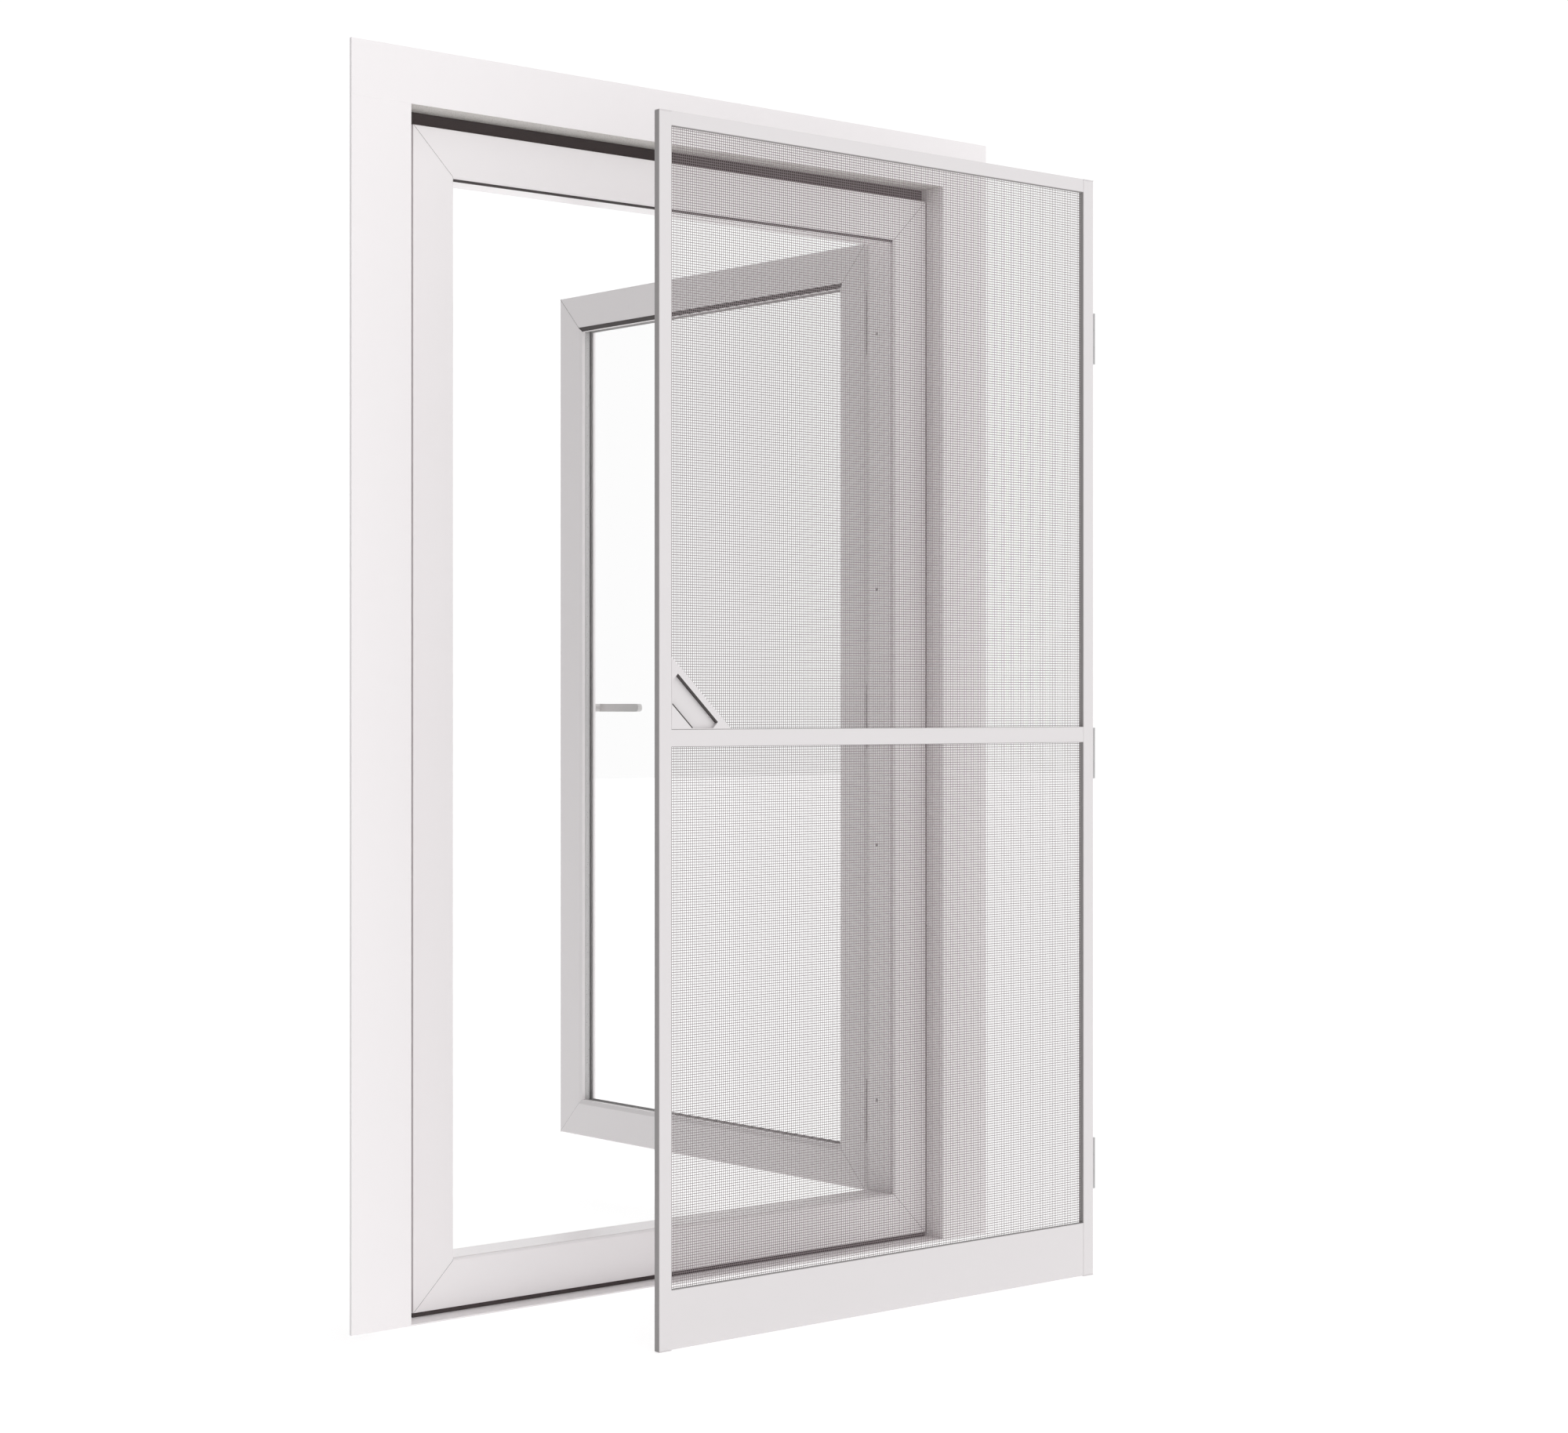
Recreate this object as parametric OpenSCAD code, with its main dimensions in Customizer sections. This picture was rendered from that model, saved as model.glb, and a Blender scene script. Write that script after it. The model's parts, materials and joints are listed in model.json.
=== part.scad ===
// Inward-opening window unit: painted surround, fixed frame, glazed sash with a lever handle
// and two shoot bolts, and a hinged insect-screen door that lifts off its seat.
// Millimetres, +Z up, +X to the hinge side, +Y into the room.
// The origin is on the sill plate's underside, below the middle of the clear opening and in the
// plane of the frame's outer face.

/* [Opening] */
// Clear width between the fixed jambs
clear_w = 1024; // [700:1:1400]
// Clear height between the fixed head and bottom member
clear_h = 1855; // [1500:1:2200]

/* [Surround] */
// Width of the casing beside the opening
casing_w = 117.5; // [60:0.5:160]
// Height of the casing above the opening
casing_head_h = 94.5; // [60:0.5:160]
// Depth from the casing's face back to the frame's face
reveal_d = 42; // [30:1:80]
// How far the casing runs back past the frame's face
casing_back = 30; // [26:1:36]
// Thickness of the casing's flange on the wall
casing_t = 6; // [4:1:12]
// Thickness of the casing's lining legs in the wall opening
lining_t = 20; // [12:1:24]
// Mean gap between casing and frame at the two sides
side_gap = 19; // [19:0.5:26]
// How far the casing stands off the frame's middle, away from the hinges
casing_shift = 12; // [0:0.5:12]
// Gap between casing and frame at the head
head_gap = 24.5; // [20:0.5:30]
// Width of the shadow groove left beside the frame
shadow_gap = 5.5; // [3:0.5:6]
// Thickness of the sill plate
sill_t = 3; // [2:0.5:5]
// Height of the seal under the frame
sill_seal_h = 8; // [4:0.5:10]
// Thickness of the rendered liner under the casing head
liner_t = 4; // [3:0.5:8]

/* [Fixed frame] */
// Face width of the frame members
frame_face = 83; // [75:1:110]
// Depth of the frame members
frame_d = 96; // [90:1:110]
// Depth of the step that the sash closes into
rebate_d = 18; // [16:1:22]
// Width of that step
rebate_w = 14; // [12:1:18]
// Wall of the frame profile
frame_wall = 6; // [4:0.5:8]
// Thickness of the seal the sash closes against
seal_t = 2; // [1.5:0.5:3]
// Radius of the wall fixing holes in the jambs
fixing_r = 3.75; // [3:0.25:5]
// Distance between the outer pair of fixing holes
fixing_outer = 1500; // [1300:10:1800]
// Distance between the inner pair of fixing holes
fixing_inner = 500; // [300:10:700]

/* [Sash] */
// How far the sash laps the clear opening on every side
sash_lap = 8; // [6:1:10]
// Face width of the sash members
sash_face = 80; // [74:1:100]
// Depth of the sash members
sash_d = 46; // [46:1:60]
// Wall of the sash profile
sash_wall = 6; // [4:0.5:8]
// Thickness of each glass pane
pane_t = 4; // [3:1:6]
// Space between the panes
pane_gap = 12; // [10:1:14]
// Height of the glazing rebate
glass_rebate = 18; // [16:1:20]
// Angle the sash stands open at rest
sash_open = 90.6; // [0:0.1:95]

/* [Handle and bolts] */
// Distance from the sash's free edge to the handle's axis
backset = 33; // [31:1:33]
// Height of the handle's axis above the origin
handle_z = 1039; // [800:1:1200]
// Length of the lever from its axis to its tip
lever_len = 148; // [110:1:160]
// Distance from the sash's face to the lever's centre line
lever_off = 45; // [36:1:60]
// Radius of the bolt rods
rod_r = 4; // [3:0.5:4.5]

/* [Insect screen] */
// How far the screen laps the clear opening at each side
screen_lap = 2; // [0:0.5:8]
// Gap between the seated screen's top and the soffit
screen_head_gap = 1.5; // [1:0.5:6]
// Thickness of the screen's profiles
screen_t = 12; // [12:1:18]
// Face width of the screen's stiles
stile_w = 25.5; // [22:0.5:40]
// Height of the top rail
top_rail_h = 24; // [20:1:40]
// Height of the middle rail
mid_rail_h = 28; // [20:1:40]
// Height of the middle rail's centre above the screen's foot
mid_rail_z = 1012; // [800:1:1200]
// Height of the kick plate
kick_h = 99.5; // [60:0.5:200]
// Width of the corner grips along the middle rail
grip_w = 127; // [90:1:150]
// Height of the corner grips along the stile
grip_h = 120; // [90:1:150]
// Height of each screen hinge
screen_hinge_h = 95; // [70:1:120]
// Sideways place of the lifted-off screen
lift_x = 142; // [0:1:300]
// Distance of the lifted-off screen in front of its seat
lift_y = 379; // [100:1:600]
// Drop of the lifted-off screen below its seat
lift_z = 28; // [0:1:60]

/* [Hidden] */
$fn = 48;
fit = 0.05;
soft_gap = 0.3;
over = 1;
half_w = clear_w / 2;
frame_z = sill_t + sill_seal_h;
clear_z = frame_z + frame_face;
clear_top = clear_z + clear_h;
frame_top = clear_top + frame_face;
frame_x = half_w + frame_face;
frame_h = frame_top - frame_z;
open_half = frame_x + side_gap;
soffit_z = frame_top + head_gap;
casing_half = open_half + casing_w;
casing_top = soffit_z + casing_head_h;
frame_mid_z = frame_z + frame_h / 2;

front_leg = frame_d - rebate_d;
chamber_front = 14;
chamber_back = front_leg - frame_wall;
drip_d = 4;
drip_y = 5;
drip_w = 6;
drip_drop = 4;
edge_bevel = 3;
lip_back = 12;
liner_step = 2;
liner_fit = 0.2;
head_seal_front = 18;
sill_seal_front = 3;
fixing_y = (casing_back + chamber_back) / 2;
screw_r = 2.1;
screw_hole_r = 2.2;
screw_head_r = 4;
screw_head_t = 1.2;

sash_x = half_w + sash_lap;
sash_z = clear_z - sash_lap;
sash_h = clear_h + 2 * sash_lap;
sash_w = 2 * sash_x;
sash_top = sash_z + sash_h;
sash_y = front_leg + seal_t;
sash_back = sash_y + sash_d;
lip_d = 12;
face_bevel_w = 9;
face_bevel_d = 4;
gasket_t = 2;
gasket_w = 7.8;
gasket_inset = 7;
pane_front = lip_d + gasket_t;
unit_t = 2 * pane_t + pane_gap;
bead_front = pane_front + unit_t + gasket_t;
unit_inset = sash_face - glass_rebate + gasket_t;
unit_x = sash_x - unit_inset;
unit_z = sash_z + unit_inset;
unit_h = sash_h - 2 * unit_inset;
spacer_w = 8;
spacer_inset = 2;
block_len = 80;
block_from_corner = 120;
sash_chamber = sash_face - glass_rebate - sash_wall;

hinge_set_in = 9;
hinge_set_out = 26;
hinge_in = frame_d - hinge_set_in;
hinge_out = half_w + hinge_set_out;
hinge_pocket_w = 9;
knuckle_r = 7.5;
hinge_pin_r = 4;
hinge_leaf_h = 90;
hinge_eye_h = 40;
hinge_leaf_t = 3;
hinge_screw_z = 32;
hinge_screw_y = sash_y + 26;
bracket_w = 10;
bracket_h = 24;
bracket_plate_t = 3;
bracket_plate_h = 38;
bracket_screw_r = 1.6;
bracket_screw_up = 31;
hinge_z = [clear_z + 150, frame_mid_z, clear_top - 150];

gear_module = 2;
pinion_teeth = 12;
pinion_r = gear_module * pinion_teeth / 2;
tooth_tip = 0.9;
rod_travel = pinion_r * PI / 2;
handle_x = -(sash_x - backset);
rod_y = sash_y + 24;
up_x = handle_x - pinion_r - gear_module - 4;
down_x = handle_x + pinion_r + gear_module + 4;
rack_half = 28;
rack_t = 8;
case_w = 2 * (pinion_r + gear_module) + 16;
case_plate_t = 3;
case_end_h = 6;
keeper_gap = 3;
keeper_h = 24;
keeper_half_w = 14;
keeper_ear_w = 18;
keeper_ear_x = 23;
keeper_ear_t = 4;
keeper_screw_x = 24;
keeper_screw_head_t = 1.4;
rose_w = 30;
rose_h = 66;
rose_t = 9;
rose_screw_z = 24;
rose_sink = 3;
neck_r = 9;
neck_fit = 0.09;
spindle_out = 30;
lever_w = 17.5;
lever_t = 11;

seat_gap = 3;
screen_back = -seat_gap;
screen_front = screen_back - screen_t;
screen_w = clear_w + 2 * screen_lap;
screen_x = screen_w / 2;
screen_foot_gap = 3;
screen_z = sill_t + screen_foot_gap;
screen_h = soffit_z - screen_head_gap - screen_z;
screen_top = screen_z + screen_h;
net_y = screen_front + 9;
net_t = 0.4;
cap_h = 1.5;
cap_proud = 1;
rail_step = 0.5;
stile_wall = 2;
rail_wall = 3;
net_bite = 1.6;
spline_w = 0.9;
brush_out = 1.2;
key_len = 45;
key_fit = 0.2;
mid_z = screen_z + mid_rail_z;
kick_top = screen_z + kick_h;
net_x = screen_x - stile_w;
pin_out = 4.5;
barrel_r = 3;
screen_pin_r = 1.3;
barrel_x = screen_x + pin_out;
barrel_y = screen_front + barrel_r + 0.1;
leaf_t = 1.7;
hinge_above_foot = 209;
hinge_below_mid = 35;
hinge_below_top = 296;
screen_hinge_z = [screen_z + hinge_above_foot, mid_z - hinge_below_mid, screen_top - hinge_below_top];

white = [0.93, 0.92, 0.92];
pale = [0.88, 0.87, 0.87];
dark = [0.3, 0.28, 0.28];
steel = [0.72, 0.72, 0.72];

// ---- helpers ----

// A box given by its two corners
module block(low, high) {
    translate(low) cube(high - low);
}

// A profile run along +Z, its outline given as [across, depth]
module run_up(points, length) {
    linear_extrude(length) polygon(points);
}

// Keeps what lies inside the 45 degree mitres of the right-hand upright of a w by h ring
// whose lower left corner is the origin; member is the face width
module mitre_keep(w, h, member, depth) {
    reach = member + 20;
    rotate([-90, 0, 0])
        mirror([0, 1, 0])
            translate([0, 0, -20])
                linear_extrude(depth + 40)
                    polygon([
                        [w + 20, -20], [w + 20, h + 20],
                        [w - reach, h - reach], [w - reach, reach]
                    ]);
}

// Same for the top member
module mitre_keep_top(w, h, member, depth) {
    reach = member + 20;
    rotate([-90, 0, 0])
        mirror([0, 1, 0])
            translate([0, 0, -20])
                linear_extrude(depth + 40)
                    polygon([
                        [-20, h + 20], [w + 20, h + 20],
                        [w - reach, h - reach], [reach, h - reach]
                    ]);
}

// Four strips of a rectangular ring between an outer and an inner rectangle
module ring_strips(x, low, high, width, y0, y1) {
    block([-x, y0, low], [x, y1, low + width]);
    block([-x, y0, high - width], [x, y1, high]);
    block([-x, y0, low + width], [-x + width, y1, high - width]);
    block([x - width, y0, low + width], [x, y1, high - width]);
}

// Hole along X
module hole_x(r, x0, x1, y, z) {
    translate([x0, y, z]) rotate([0, 90, 0]) cylinder(r = r, h = x1 - x0);
}

// Hole along Y
module hole_y(r, y0, y1, x, z) {
    translate([x, y0, z]) rotate([-90, 0, 0]) cylinder(r = r, h = y1 - y0);
}

// The closed sash turned open about its hinge axis
module swing() {
    translate([hinge_out, hinge_in, 0])
        rotate([0, 0, -sash_open])
            translate([-hinge_out, -hinge_in, 0])
                children();
}

// The seated screen moved to its lifted-off place
module lifted() {
    translate([lift_x, -lift_y, -lift_z]) children();
}

// ---- surround ----

// The casing's own middle line stands off the frame's
module off_centre() {
    translate([-casing_shift, 0, 0]) children();
}

// Outer edge of the frame on that side, seen from the casing's middle line
function frame_edge(side) = frame_x + side * casing_shift;

module casing_leg(side) {
    flange_back = -reveal_d + casing_t;
    color(white)
        off_centre()
            mirror([side < 0 ? 1 : 0, 0, 0]) {
                block([open_half, -reveal_d, 0], [casing_half, flange_back, soffit_z]);
                block([open_half, flange_back, 0], [open_half + lining_t, casing_back, soffit_z]);
                block([frame_edge(side) + shadow_gap, 0, sill_t], [open_half, lip_back, frame_top]);
            }
}

module casing_left() { casing_leg(-1); }
module casing_right() { casing_leg(1); }

module casing_head() {
    color(white)
        off_centre()
            difference() {
                union() {
                    block([-casing_half, -reveal_d, soffit_z], [casing_half, -reveal_d + casing_t, casing_top]);
                    block([-open_half - lining_t, -reveal_d, soffit_z],
                        [open_half + lining_t, casing_back, soffit_z + liner_t + lining_t]);
                }
                block([-open_half, -reveal_d + liner_step, soffit_z - over],
                    [open_half, casing_back + over, soffit_z + liner_t]);
            }
}

module soffit_liner() {
    color([0.8, 0.78, 0.75])
        off_centre()
            block([-open_half + liner_fit, -reveal_d + liner_step + liner_fit, soffit_z],
                [open_half - liner_fit, casing_back, soffit_z + liner_t]);
}

module sill_plate() {
    color(pale)
        off_centre()
            block([-open_half, -reveal_d, 0], [open_half, frame_d, sill_t]);
}

module side_seal(side) {
    color(dark)
        off_centre()
            mirror([side < 0 ? 1 : 0, 0, 0])
                block([frame_edge(side), lip_back, sill_t], [open_half, casing_back, frame_top]);
}

module seal_left() { side_seal(-1); }
module seal_right() { side_seal(1); }

module seal_head() {
    color(dark)
        off_centre()
            block([-open_half, head_seal_front, frame_top], [open_half, casing_back, soffit_z]);
}

module seal_bottom() {
    color(dark)
        block([-frame_x, sill_seal_front, sill_t], [frame_x, frame_d - 4, frame_z]);
}

// ---- fixed frame ----

// Frame section: u runs outward from the clear edge, v runs back from the face
module frame_section() {
    difference() {
        polygon([
            [edge_bevel, 0], [frame_face, 0], [frame_face, frame_d],
            [rebate_w, frame_d], [rebate_w, front_leg], [0, front_leg],
            [0, drip_y + drip_w], [drip_d, drip_y + drip_w], [drip_d, drip_y],
            [0, drip_y], [0, edge_bevel]
        ]);
        polygon([
            [frame_wall, chamber_front], [frame_face - frame_wall, chamber_front],
            [frame_face - frame_wall, chamber_back], [frame_wall, chamber_back]
        ]);
    }
}

// Right-hand upright of the frame, mitred, in place
module frame_upright() {
    intersection() {
        translate([half_w, 0, frame_z]) linear_extrude(frame_h) frame_section();
        translate([-frame_x, 0, frame_z]) mitre_keep(2 * frame_x, frame_h, frame_face, frame_d);
    }
}

// Top member of the frame, mitred, in place
module frame_top_member() {
    intersection() {
        translate([-frame_x, 0, clear_top])
            rotate([90, 0, 90])
                linear_extrude(2 * frame_x)
                    mirror([1, -1, 0]) frame_section();
        translate([-frame_x, 0, frame_z]) mitre_keep_top(2 * frame_x, frame_h, frame_face, frame_d);
    }
}

module fixing_holes() {
    for (z = [-fixing_outer / 2, -fixing_inner / 2, fixing_inner / 2, fixing_outer / 2])
        hole_x(fixing_r, half_w - over, frame_x + over, fixing_y, frame_mid_z + z);
}

function bracket_screw_at(z, s) = z + s * (hinge_eye_h / 2 + 0.5 + bracket_screw_up);

// Pockets in the hinge jamb, open to the rebate and to the room
module hinge_pockets() {
    for (z = hinge_z)
        block([half_w + rebate_w - over, hinge_in - hinge_pocket_w, z - hinge_leaf_h / 2 - 18],
            [hinge_out + hinge_pocket_w, frame_d + over, z + hinge_leaf_h / 2 + 18]);
}

module frame_jamb_right() {
    color(white)
        difference() {
            frame_upright();
            fixing_holes();
            hinge_pockets();
            for (z = hinge_z)
                for (s = [-1, 1])
                    hole_x(bracket_screw_r, hinge_out, hinge_out + 24, hinge_in, bracket_screw_at(z, s));
        }
}

module frame_jamb_left() {
    color(white)
        difference() {
            mirror([1, 0, 0]) frame_upright();
            mirror([1, 0, 0]) fixing_holes();
        }
}

module frame_head() {
    color(white) frame_top_member();
}

module frame_bottom() {
    color(white)
        translate([0, 0, 2 * frame_mid_z]) mirror([0, 0, 1]) frame_top_member();
}

// Galvanised channels inside the chambers
module steel_channel(length, w, d, t) {
    difference() {
        cube([w, d, length]);
        translate([t, t, -over]) cube([w, d - 2 * t, length + 2 * over]);
    }
}

steel_fit = 0.3;
steel_t = 2;
chamber_w = frame_face - 2 * frame_wall;
chamber_d = chamber_back - chamber_front;

module frame_steel() {
    w = chamber_w - 2 * steel_fit;
    d = chamber_d - 2 * steel_fit;
    y = chamber_front + steel_fit;
    color(steel)
        difference() {
            union() {
                for (s = [0, 1])
                    mirror([s, 0, 0])
                        translate([half_w + frame_wall + steel_fit, y, clear_z])
                            steel_channel(clear_h, w, d, steel_t);
                for (top = [0, 1])
                    translate([-half_w, y, (top ? clear_top : frame_z) + frame_wall + steel_fit + w])
                        rotate([0, 90, 0])
                            steel_channel(clear_w, w, d, steel_t);
            }
            fixing_holes();
            mirror([1, 0, 0]) fixing_holes();
        }
}

// Bubble seal on the back of the front leg, which the sash closes against
module frame_rebate_seal() {
    seal_w = sash_lap - 2;
    color(dark)
        ring_strips(half_w + seal_w + 0.5, clear_z - seal_w - 0.5, clear_top + seal_w + 0.5,
            seal_w, front_leg, front_leg + seal_t - soft_gap);
}

// Drip strip in the groove under the head
module head_drip_seal() {
    color(dark)
        block([-half_w, drip_y, clear_top - drip_drop], [half_w, drip_y + drip_w - 2, clear_top + drip_d]);
}

// ---- sash hinges ----

module hinge_frame_brackets() {
    color(steel)
        for (z = hinge_z)
            difference() {
                union() {
                    for (s = [-1, 1])
                        translate([hinge_out, hinge_in, z + s * (hinge_eye_h / 2 + 0.5)])
                            mirror([0, 0, s < 0 ? 1 : 0]) {
                                cylinder(r = knuckle_r, h = bracket_h);
                                block([0, -bracket_w / 2, 0], [hinge_pocket_w, bracket_w / 2, bracket_h]);
                                block([hinge_pocket_w - bracket_plate_t, -bracket_w / 2, 0],
                                    [hinge_pocket_w, bracket_w / 2, bracket_plate_h]);
                            }
                }
                for (s = [-1, 1])
                    hole_x(bracket_screw_r + fit, hinge_out, hinge_out + 20, hinge_in, bracket_screw_at(z, s));
                translate([hinge_out, hinge_in, z - hinge_leaf_h])
                    cylinder(r = hinge_pin_r + fit, h = 2 * hinge_leaf_h);
            }
}

module hinge_pins() {
    half = hinge_eye_h / 2 + 0.5 + bracket_h;
    color(steel)
        for (z = hinge_z)
            translate([hinge_out, hinge_in, z - half])
                cylinder(r = hinge_pin_r, h = 2 * half);
}

module hinge_sash_leaves() {
    plate_y = sash_y + 4;
    color(steel)
        swing()
            for (z = hinge_z)
                difference() {
                    union() {
                        block([sash_x, plate_y, z - hinge_leaf_h / 2],
                            [sash_x + hinge_leaf_t, sash_back - 6, z + hinge_leaf_h / 2]);
                        block([sash_x + hinge_leaf_t - 0.5, hinge_in - 2.5, z - hinge_eye_h / 2],
                            [hinge_out, hinge_in + 2.5, z + hinge_eye_h / 2]);
                        translate([hinge_out, hinge_in, z - hinge_eye_h / 2])
                            cylinder(r = knuckle_r, h = hinge_eye_h);
                    }
                    translate([hinge_out, hinge_in, z - hinge_leaf_h])
                        cylinder(r = hinge_pin_r + fit, h = 2 * hinge_leaf_h);
                    for (s = [-1, 1])
                        hole_x(screw_hole_r, sash_x - over, sash_x + 10, hinge_screw_y, z + s * hinge_screw_z);
                }
}

module hinge_screws() {
    color(steel)
        swing()
            for (z = hinge_z)
                for (s = [-1, 1]) {
                    leaf_x = sash_x + hinge_leaf_t;
                    hole_x(screw_r, sash_x - sash_wall, leaf_x, hinge_screw_y, z + s * hinge_screw_z);
                    hole_x(screw_head_r, leaf_x, leaf_x + screw_head_t, hinge_screw_y, z + s * hinge_screw_z);
                }
}

// ---- sash ----

// Sash section: u runs inward from the outer edge, v runs back from the outer face
module sash_section() {
    difference() {
        polygon([
            [2, 0], [sash_face - face_bevel_w, 0], [sash_face, face_bevel_d],
            [sash_face, lip_d], [sash_face - glass_rebate, lip_d],
            [sash_face - glass_rebate, sash_d], [2, sash_d], [0, sash_d - 2], [0, 2]
        ]);
        polygon([
            [sash_wall, sash_wall], [sash_chamber, sash_wall],
            [sash_chamber, sash_d - sash_wall], [sash_wall, sash_d - sash_wall]
        ]);
    }
}

module sash_upright() {
    intersection() {
        translate([sash_x, sash_y, sash_z])
            linear_extrude(sash_h)
                mirror([1, 0, 0]) sash_section();
        translate([-sash_x, sash_y, sash_z]) mitre_keep(sash_w, sash_h, sash_face, sash_d);
    }
}

module sash_top_member() {
    intersection() {
        translate([-sash_x, sash_y, sash_top])
            rotate([90, 0, 90])
                linear_extrude(sash_w)
                    mirror([0, 1, 0]) mirror([1, -1, 0]) sash_section();
        translate([-sash_x, sash_y, sash_z]) mitre_keep_top(sash_w, sash_h, sash_face, sash_d);
    }
}

module sash_stile_hinge() {
    color(white)
        swing()
            difference() {
                sash_upright();
                for (z = hinge_z)
                    for (s = [-1, 1])
                        hole_x(screw_r + fit, sash_x - sash_wall - over, sash_x + over, hinge_screw_y,
                            z + s * hinge_screw_z);
            }
}

module sash_stile_handle() {
    color(white)
        swing()
            difference() {
                mirror([1, 0, 0]) sash_upright();
                hole_y(neck_r + 0.5, sash_back - sash_wall - over, sash_back + over, handle_x, handle_z);
                for (s = [-1, 1])
                    hole_y(screw_r + fit, sash_back - sash_wall - over, sash_back + over, handle_x,
                        handle_z + s * rose_screw_z);
            }
}

module sash_rail_top() {
    color(white)
        swing()
            difference() {
                sash_top_member();
                translate([up_x, rod_y, sash_top - sash_wall - over]) cylinder(r = rod_r + 0.4, h = 20);
            }
}

module sash_rail_bottom() {
    color(white)
        swing()
            difference() {
                translate([0, 0, 2 * sash_z + sash_h]) mirror([0, 0, 1]) sash_top_member();
                translate([down_x, rod_y, sash_z - 10]) cylinder(r = rod_r + 0.4, h = 10 + sash_wall + over);
            }
}

module sash_steel() {
    w = sash_chamber - sash_wall - 2 * steel_fit;
    d = sash_d - 2 * sash_wall - 2 * steel_fit;
    y = sash_y + sash_wall + steel_fit;
    color(steel)
        swing() {
            translate([sash_x - sash_wall - steel_fit - w, y, unit_z])
                steel_channel(unit_h, w, d, steel_t);
            for (z = [sash_z + sash_wall + steel_fit + w, sash_top - sash_wall - steel_fit])
                translate([-unit_x, y, z])
                    rotate([0, 90, 0])
                        steel_channel(2 * unit_x, w, d, steel_t);
        }
}

module pane(front) {
    color([0.85, 0.92, 0.92, 0.4])
        swing()
            block([-unit_x, sash_y + front, unit_z], [unit_x, sash_y + front + pane_t, unit_z + unit_h]);
}

module pane_outer() { pane(pane_front); }
module pane_inner() { pane(pane_front + pane_t + pane_gap); }

module pane_spacer() {
    color(steel)
        swing()
            translate([0, sash_y + pane_front + pane_t, 0])
                ring_strips(unit_x - spacer_inset, unit_z + spacer_inset, unit_z + unit_h - spacer_inset,
                    spacer_w, 0, pane_gap);
}

module setting_blocks() {
    block_y0 = sash_y + pane_front;
    block_y1 = block_y0 + unit_t;
    foot = sash_z + sash_face - glass_rebate;
    color(dark)
        swing() {
            for (x = [-unit_x + block_from_corner, unit_x - block_from_corner])
                block([x - block_len / 2, block_y0, foot], [x + block_len / 2, block_y1, unit_z]);
            for (z = [unit_z + block_from_corner, unit_z + unit_h - block_from_corner])
                for (s = [-1, 1])
                    mirror([s < 0 ? 1 : 0, 0, 0])
                        block([unit_x, block_y0, z - block_len / 2],
                            [sash_x - sash_face + glass_rebate, block_y1, z + block_len / 2]);
        }
}

module glazing_gaskets() {
    edge = sash_x - sash_face;
    low = sash_z + sash_face;
    high = sash_top - sash_face;
    color(dark)
        swing()
            for (y = [sash_y + lip_d, sash_y + bead_front - gasket_t])
                ring_strips(edge + gasket_inset, low - gasket_inset, high + gasket_inset, gasket_w,
                    y, y + gasket_t);
}

// Snap-in bead on the room side, mitred; u runs inward from the rebate's floor
module bead_section() {
    polygon([
        [0, bead_front], [glass_rebate, bead_front], [glass_rebate, bead_front + 3],
        [glass_rebate - 5, sash_d], [0, sash_d]
    ]);
}

bead_x = sash_x - sash_face + glass_rebate;
bead_z = sash_z + sash_face - glass_rebate;
bead_h = sash_h - 2 * (sash_face - glass_rebate);

module bead_upright() {
    intersection() {
        translate([bead_x, sash_y, bead_z]) linear_extrude(bead_h) mirror([1, 0, 0]) bead_section();
        translate([-bead_x, sash_y, bead_z]) mitre_keep(2 * bead_x, bead_h, glass_rebate, sash_d);
    }
}

module bead_top_member() {
    intersection() {
        translate([-bead_x, sash_y, bead_z + bead_h])
            rotate([90, 0, 90])
                linear_extrude(2 * bead_x)
                    mirror([0, 1, 0]) mirror([1, -1, 0]) bead_section();
        translate([-bead_x, sash_y, bead_z]) mitre_keep_top(2 * bead_x, bead_h, glass_rebate, sash_d);
    }
}

module bead_hinge() { color(white) swing() bead_upright(); }
module bead_handle() { color(white) swing() mirror([1, 0, 0]) bead_upright(); }
module bead_top() { color(white) swing() bead_top_member(); }
module bead_bottom() {
    color(white)
        swing()
            translate([0, 0, 2 * bead_z + bead_h]) mirror([0, 0, 1]) bead_top_member();
}

// ---- handle, gear and shoot bolts ----

case_y0 = rod_y - 12;
case_y1 = rod_y + 12;
pinion_y0 = rod_y - 4;
pinion_y1 = rod_y + 4;
hub_r = 7;
spindle_w = 7;

// Two side plates with bearings for the pinion's hubs, joined by end blocks
module gear_case() {
    case_h = 2 * rack_half + 2 * rod_travel + 16;
    x0 = handle_x - case_w / 2;
    x1 = handle_x + case_w / 2;
    color(steel)
        swing()
            difference() {
                union() {
                    for (y = [case_y0, case_y1 - case_plate_t])
                        block([x0, y, handle_z - case_h / 2], [x1, y + case_plate_t, handle_z + case_h / 2]);
                    for (z = [handle_z - case_h / 2, handle_z + case_h / 2 - case_end_h])
                        block([handle_x - 8, case_y0, z], [handle_x + 8, case_y1, z + case_end_h]);
                }
                hole_y(hub_r + fit, case_y0 - over, case_y1 + over, handle_x, handle_z);
            }
}

// One straight-sided tooth pointing along +X from the root circle
module pinion_tooth() {
    polygon([
        [pinion_r - 2.6, -2.2], [pinion_r - 1.2, -1.75], [pinion_r, -1.3],
        [pinion_r + gear_module - 0.4, -tooth_tip / 2],
        [pinion_r + gear_module - 0.4, tooth_tip / 2],
        [pinion_r, 1.3], [pinion_r - 1.2, 1.75], [pinion_r - 2.6, 2.2]
    ]);
}

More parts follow.
